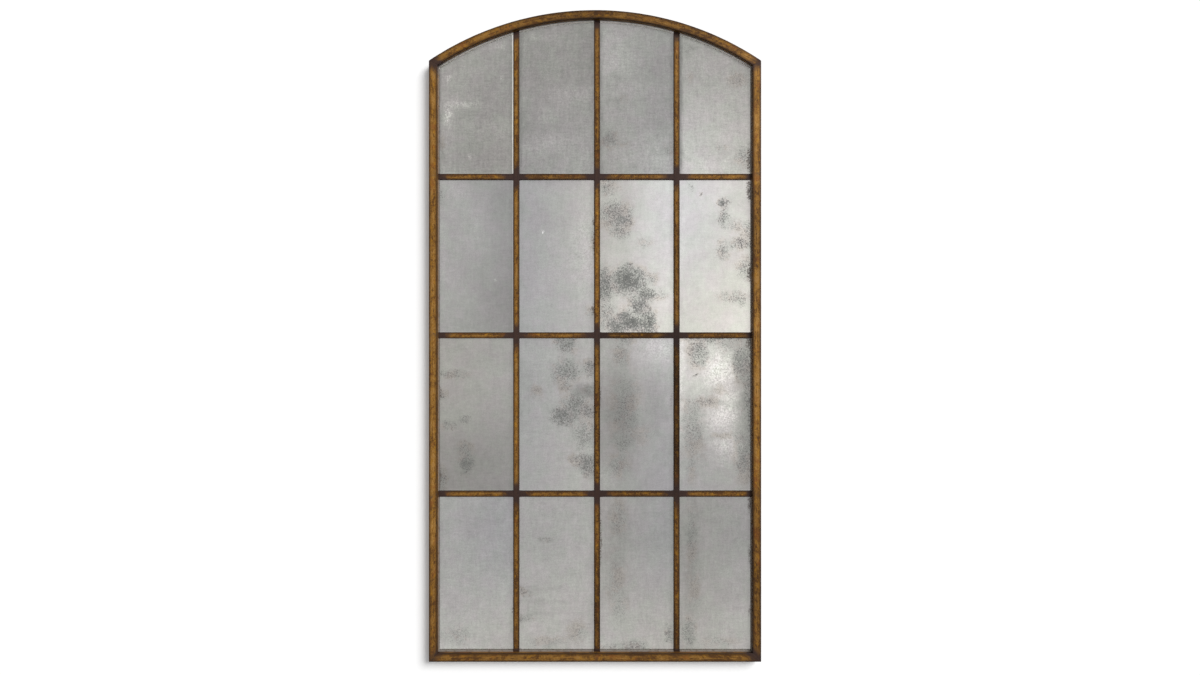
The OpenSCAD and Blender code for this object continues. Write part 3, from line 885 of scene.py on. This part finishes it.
def fibreboard(name):
    """Dark stained hardboard: pressed fibres of two lengths, cloudy stain and pale scuffs."""
    finish = Finish(name, Specular_IOR_Level=0.3)
    place = finish.place()
    upright = finish.moved(place, scale=(1, 1, 0.35))
    level = finish.moved(place, shift=(0, 3, 0), scale=(0.35, 1, 1))
    long_fibres = finish.noise(upright, 2.2 * MM, 3.0, 0.65)
    cross_fibres = finish.noise(level, 2.8 * MM, 3.0, 0.65)
    stain = finish.noise(place, 160 * MM, 4.0, 0.6)
    scuffs = finish.noise(finish.moved(place, shift=(7, 0, 0)), 34 * MM, 5.0, 0.75)
    scuffed = finish.ease(scuffs, 0.60, 0.74)
    fibre = long_fibres * 0.5 + cross_fibres * 0.5
    body = finish.mix(finish.ease(fibre, 0.36, 0.66), FIBRE_DARK, FIBRE_PALE)
    body = finish.mix(scuffed * 0.35, body, BARE_FIBRE)
    body = finish.shaded(body, 0.65 + stain * 0.7)
    return finish.wear(
        Base_Color=body,
        Roughness=0.62 + fibre * 0.25,
        Normal=finish.bump(fibre, 0.25 * MM, 0.7),
    )


def black_rubber(name, tone):
    """Moulded rubber with a fine skin and a little dust."""
    finish = Finish(name, Specular_IOR_Level=0.35)
    place = finish.place()
    skin = finish.noise(place, 0.9 * MM, 2.0, 0.6)
    dust = finish.ease(finish.noise(place, 6 * MM, 4.0, 0.7), 0.52, 0.75)
    body = finish.mix(dust * 0.5, rgb(tone, tone, tone), DUST)
    return finish.wear(
        Base_Color=body,
        Roughness=0.58 + dust * 0.25,
        Normal=finish.bump(skin, 0.12 * MM, 0.6),
    )


frame_metal = antique_metal("antique_frame_metal", depth=0.0)
upright_metal = antique_metal("antique_upright_metal", depth=0.2)
cross_metal = antique_metal("antique_cross_bar_metal", depth=0.6)
strip_finish = strip_paint("strip_paint")
zinc = zinc_plate("zinc_plate", 5 * MM)
ring_zinc = zinc_plate("ring_zinc", 2 * MM)
board_finish = fibreboard("stained_fibreboard")
rubber = black_rubber("bumper_rubber", 0.020)
tape_foam = black_rubber("tape_foam", 0.014)


# Metalwork

tube_shape = rounded_section(FACE, DEPTH, TUBE_EDGE_R, TUBE_EDGE_R, side_steps=10, arc_steps=6)
bar_shape = rounded_section(BAR_W, BAR_T, BAR_EDGE_R, BAR_BACK_R, side_steps=8, arc_steps=4)


def lay_stile(side):
    """Upright tube on one side.

    Its ends lie on the mitre planes, so its height runs between two slopes across it.
    """

    def lay(across, depth, share):
        x = side * TUBE_AXIS_X + across
        foot = HALF_W - np.abs(x)
        head = CORNER_Z - MITRE_SLOPE * (HALF_W - np.abs(x))
        return x, depth, foot + share * (head - foot)

    return lay


def lay_rail(across, depth, share):
    """Level tube, mitred at 45 degrees at both ends."""
    z = FACE / 2 - across
    reach = HALF_W - z
    return (2 * share - 1) * reach, depth, z


def lay_arch(across, depth, share):
    """Tube along the arch's circle.

    The circle of each radius ends on the line through the corner's two points, at the angle whose
    cosine solves the line's equation.
    """
    r = ARCH_AXIS_R - across
    reach = math.hypot(1, MITRE_SLOPE)
    rise = INNER_CORNER_Z - ARCH_CENTRE_Z - MITRE_SLOPE * OPEN_HALF_W
    end = np.arccos(rise / (r * reach)) - math.atan(MITRE_SLOPE)
    angle = (2 * share - 1) * end
    return r * np.sin(angle), depth, ARCH_CENTRE_Z + r * np.cos(angle)


def lay_upright(centre_x):
    """Flat bar from the rail up to the arch's inner circle, let into both by the weld."""

    def lay(across, depth, share):
        x = centre_x + across
        foot = RAIL_HIGH[2] - WELD_SINK
        head = ARCH_CENTRE_Z + np.sqrt(ARCH_INNER_R**2 - x**2) + WELD_SINK
        return x, BAR_Y + depth, foot + share * (head - foot)

    return lay


def lay_cross_bar(left, right, centre_z):
    """Flat bar between two uprights or an upright and a stile, let into both by the weld."""

    def lay(across, depth, share):
        start = left - WELD_SINK
        end = right + WELD_SINK
        return start + share * (end - start), BAR_Y + depth, centre_z - across

    return lay


STILE_LENGTH = CORNER_Z - FACE
RAIL_LENGTH = 2 * TUBE_AXIS_X
ARCH_LENGTH = 2 * math.asin(TUBE_AXIS_X / ARCH_AXIS_R) * ARCH_AXIS_R

# Smoke at the mitres: at the foot and head of a stile, and at the left and right of rail and arch
STILE_SMOKE = {
    "left_stile": [Bell(0, 26 * MM, 0.60), Bell(STILE_LENGTH, 28 * MM, 0.95)],
    "right_stile": [Bell(0, 26 * MM, 0.95), Bell(STILE_LENGTH, 26 * MM, 0.75)],
}
RAIL_SMOKE = [Bell(0, 30 * MM, 0.65), Bell(RAIL_LENGTH, 30 * MM, 0.95)]
ARCH_SMOKE = [Bell(0, 30 * MM, 0.95), Bell(ARCH_LENGTH, 28 * MM, 0.60)]

# Darker stretches of the tubes, as place along the tube, reach and strength
DULLED_STILES = {
    "left_stile": [Bell(1.36, 0.05, 0.20)],
    "right_stile": [
        Bell(1.80, 0.04, 0.40), Bell(1.36, 0.14, 0.60),
        Bell(0.42, 0.14, 0.45), Bell(0.22, 0.15, 0.48),
    ],
}
DULLED_ARCH = [Bell(0.50 * ARCH_LENGTH, 0.33, 0.78), Bell(0.79 * ARCH_LENGTH, 0.22, 0.72)]

# Darker stretches of each upright, as height, reach and strength
DULLED_UPRIGHTS = {
    1: [Bell(1.85, 0.15, 0.15), Bell(1.64, 0.07, 0.35), Bell(0.47, 0.07, 0.28)],
    2: [
        Bell(1.80, 0.20, 0.35), Bell(1.64, 0.07, 0.50), Bell(0.98, 0.08, 0.40),
        Bell(0.75, 0.20, 0.66), Bell(0.47, 0.08, 0.30), Bell(0.16, 0.20, 0.48),
    ],
    3: [
        Bell(1.75, 0.16, 0.30), Bell(1.64, 0.07, 0.45), Bell(1.28, 0.26, 0.58),
        Bell(0.90, 0.20, 1.35), Bell(0.70, 0.17, 1.35), Bell(0.44, 0.12, 0.50),
        Bell(0.08, 0.10, 0.60),
    ],
}
# How dull the darker cross bars are, by row and column, and how far that reaches from their middles
DULLED_CROSS_BARS = {
    (1, 2): 0.30,
    (1, 3): 0.15,
    (2, 3): 0.75,
    (2, 4): 0.50,
    (3, 2): 0.12,
    (3, 3): 0.42,
    (3, 4): 0.15,
}
CROSS_BAR_REACH = 0.30


def make_tubes():
    """The four frame members, smoked at the mitres, and on the stiles and the rail at the bars too."""
    stile_joints = [Bell(z - FACE / 2, 16 * MM, 0.35) for z in CROSS_Z]
    for seed, (side, node) in enumerate(((-1, "left_stile"), (1, "right_stile"))):
        joints = STILE_SMOKE[node] + stile_joints
        forge(
            node, tube_shape, lay_stile(side), STILE_LENGTH, joints, frame_metal,
            groove=GROOVE, dulled=DULLED_STILES[node], seed=seed,
        )
    joints = list(RAIL_SMOKE)
    for low, high in UPRIGHTS:
        joints.append(Bell((low[0] + high[0]) / 2 + TUBE_AXIS_X, 14 * MM, 0.3))
    forge(
        "bottom_rail", tube_shape, lay_rail, RAIL_LENGTH, joints, frame_metal,
        groove=GROOVE, seed=2,
    )
    forge(
        "arch_head", tube_shape, lay_arch, ARCH_LENGTH, ARCH_SMOKE, frame_metal,
        groove=GROOVE, dulled=DULLED_ARCH, seed=3,
    )


def make_uprights():
    """The three uprights, smoked at both ends and where the cross bars meet them."""
    for i, (low, high) in enumerate(UPRIGHTS, start=1):
        length = high[2] - low[2]
        joints = [Bell(z - low[2], 42 * MM, 1.05) for z in CROSS_Z]
        joints += [Bell(0, 13 * MM, 0.9), Bell(length, 34 * MM, 1.0)]
        dulled = [bell._replace(at=bell.at - low[2]) for bell in DULLED_UPRIGHTS[i]]
        lay = lay_upright((low[0] + high[0]) / 2)
        forge(
            f"glazing_bar_{i}", bar_shape, lay, length, joints, upright_metal,
            weld=WELD, dulled=dulled, seed=3 + i,
        )


def make_cross_bars():
    """The twelve short bars, smoked at both ends, over a shorter length at the right stile."""
    for row, column in itertools.product(range(1, ROWS), range(1, COLUMNS + 1)):
        left, right = LEFTS[column - 1], RIGHTS[column - 1]
        length = right - left
        right_reach = 38 * MM if column < COLUMNS else 22 * MM
        joints = [Bell(0, 36 * MM, 1.05), Bell(length, right_reach, 1.05)]
        dulled = [Bell(length / 2, CROSS_BAR_REACH, DULLED_CROSS_BARS.get((row, column), 0.0))]
        lay = lay_cross_bar(left, right, CROSS_Z[row - 1])
        forge(
            f"cross_bar_{row}_{column}", bar_shape, lay, length, joints, cross_metal,
            weld=WELD, dulled=dulled, seed=10 + COLUMNS * row + column,
        )


def dress(node, finish):
    """Gives a node of the frame a finish in place of its plain one."""
    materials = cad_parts[node].data.materials
    materials.clear()
    materials.append(finish.material)


# Plated small parts
ZINC_NODES = (
    "backing_clips", "clip_screws", "hanger_strap_left", "hanger_strap_right", "hanger_screws",
)
RING_NODES = ("d_ring_left", "d_ring_right")


def dress_nodes():
    """Gives the nodes that keep their shape their finishes."""
    for row, column in PANES:
        dress(f"mirror_pane_{row}_{column}", antique_mirror(row, column))
    dress("stop_strips", strip_finish)
    dress("glazing_tape", tape_foam)
    dress("backing_board", board_finish)
    for node in ZINC_NODES:
        dress(node, zinc)
    for node in RING_NODES:
        dress(node, ring_zinc)
    dress("wall_bumpers", rubber)


# Stage, light and camera

FLOOR_DROP = 60 * MM
STAGE_HALF = 30.0
WALL_GAP = 0.5 * MM
WALL_TONE = 0.93
WALL_GLOW = 0.175
FLOOR_TONE = 0.85
FLOOR_GLOW = 0.30
AMBIENT = 0.22
KEY_SIDE = math.radians(41)
KEY_RISE = math.radians(31)
KEY_POWER = 3.57
KEY_SPREAD = math.radians(36)
BACK_TOWARDS = (0.5, -1.0, -0.45)
BACK_POWER = 1.2
BACK_SPREAD = math.radians(60)


def white_sheet(name, tone, glow):
    """A pale matt sheet that only the camera sees, and only from its front.

    It has its own colour under the lamps, so that shadows show on it, plus an even glow.
    """
    finish = Finish(name)
    finish.tree.nodes.remove(finish.shader)
    ray = finish.node("LightPath", output="Is Camera Ray")
    back = finish.node("NewGeometry", output="Backfacing")
    matt = finish.node("BsdfDiffuse", {}, {"Color": rgb(tone, tone, tone)})
    lit = finish.node("Emission", {}, {"Color": rgb(1, 1, 1), "Strength": glow})
    both = finish.node("AddShader", {}, {0: matt, 1: lit})
    clear = finish.node("BsdfTransparent")
    seen = finish.node("MixShader", {}, {0: ray * (1 - back), 1: clear, 2: both})
    finish.put(finish.tree.nodes["Material Output"].inputs["Surface"], seen)
    return finish


def stage_sheet(name, points, finish):
    """Adds a sheet with four corners to the stage."""
    mesh = bpy.data.meshes.new(name)
    mesh.from_pydata(points, [], [(0, 1, 2, 3)])
    mesh.materials.append(finish.material)
    sheet = bpy.data.objects.new(name, mesh)
    bpy.context.scene.collection.objects.link(sheet)


def make_stage():
    """A white wall just behind the bumpers and a white floor below the mirror."""
    far = STAGE_HALF
    y = WALL_Y + WALL_GAP
    z = -FLOOR_DROP
    wall = [(-far, y, z), (far, y, z), (far, y, far), (-far, y, far)]
    stage_sheet("wall", wall, white_sheet("white_wall", WALL_TONE, WALL_GLOW))
    floor = [(-far, -far, z), (far, -far, z), (far, far, z), (-far, far, z)]
    stage_sheet("floor", floor, white_sheet("white_floor", FLOOR_TONE, FLOOR_GLOW))


def sun(name, towards, power, spread):
    """Adds a lamp that shines towards a direction from far away."""
    lamp = bpy.data.lights.new(name, "SUN")
    lamp.energy = power
    lamp.angle = spread
    holder = bpy.data.objects.new(name, lamp)
    holder.rotation_euler = Vector(towards).to_track_quat("-Z", "Y").to_euler()
    bpy.context.scene.collection.objects.link(holder)


def light_scene():
    """One large soft key from the upper right in front, a weak one from behind, and an even sky.

    Cameras, metal and glass see the sky white.
    """
    level = math.cos(KEY_RISE)
    key = (-math.sin(KEY_SIDE) * level, math.cos(KEY_SIDE) * level, -math.sin(KEY_RISE))
    sun("key", key, KEY_POWER, KEY_SPREAD)
    sun("back", BACK_TOWARDS, BACK_POWER, BACK_SPREAD)
    world = bpy.data.worlds.new("sky")
    world.use_nodes = True
    nodes, links = world.node_tree.nodes, world.node_tree.links
    sky = nodes["Background"]
    sky.inputs["Strength"].default_value = AMBIENT
    sky.inputs["Color"].default_value = rgb(1, 1, 1)
    white = nodes.new("ShaderNodeBackground")
    white.inputs["Color"].default_value = rgb(1, 1, 1)
    ray = nodes.new("ShaderNodeLightPath")
    seen = ray.outputs["Is Camera Ray"]
    for other in ("Is Glossy Ray", "Is Transmission Ray"):
        either = nodes.new("ShaderNodeMath")
        either.operation = "MAXIMUM"
        links.new(seen, either.inputs[0])
        links.new(ray.outputs[other], either.inputs[1])
        seen = either.outputs[0]
    choice = nodes.new("ShaderNodeMixShader")
    links.new(seen, choice.inputs[0])
    links.new(sky.outputs[0], choice.inputs[1])
    links.new(white.outputs[0], choice.inputs[2])
    links.new(choice.outputs[0], nodes["World Output"].inputs["Surface"])
    bpy.context.scene.world = world


# The photograph's width in pixels and the real size of one on the plane of the tubes' front face
PHOTO_W = 1200
PIXEL = 3.207 * MM
# The point of that plane in the middle of the photograph, and the camera's distance from the plane
VIEW_X = 16 * MM
VIEW_Z = 1041 * MM
VIEW_DISTANCE = 2.5
# Width of the camera's sensor, in millimetres
SENSOR_W = 36.0


def add_camera():
    """A level camera straight in front, whose picture is as wide as PHOTO_W pixels of real size."""
    data = bpy.data.cameras.new("camera")
    data.sensor_width = SENSOR_W
    data.lens = data.sensor_width * VIEW_DISTANCE / (PHOTO_W * PIXEL)
    camera = bpy.data.objects.new("camera", data)
    camera.location = (VIEW_X, RAIL_LOW[1] - VIEW_DISTANCE, VIEW_Z)
    camera.rotation_euler = (math.pi / 2, 0, 0)
    bpy.context.scene.collection.objects.link(camera)
    bpy.context.scene.camera = camera


add_camera()
make_tubes()
make_uprights()
make_cross_bars()
dress_nodes()
make_stage()
light_scene()
bpy.context.scene.view_settings.view_transform = "Standard"
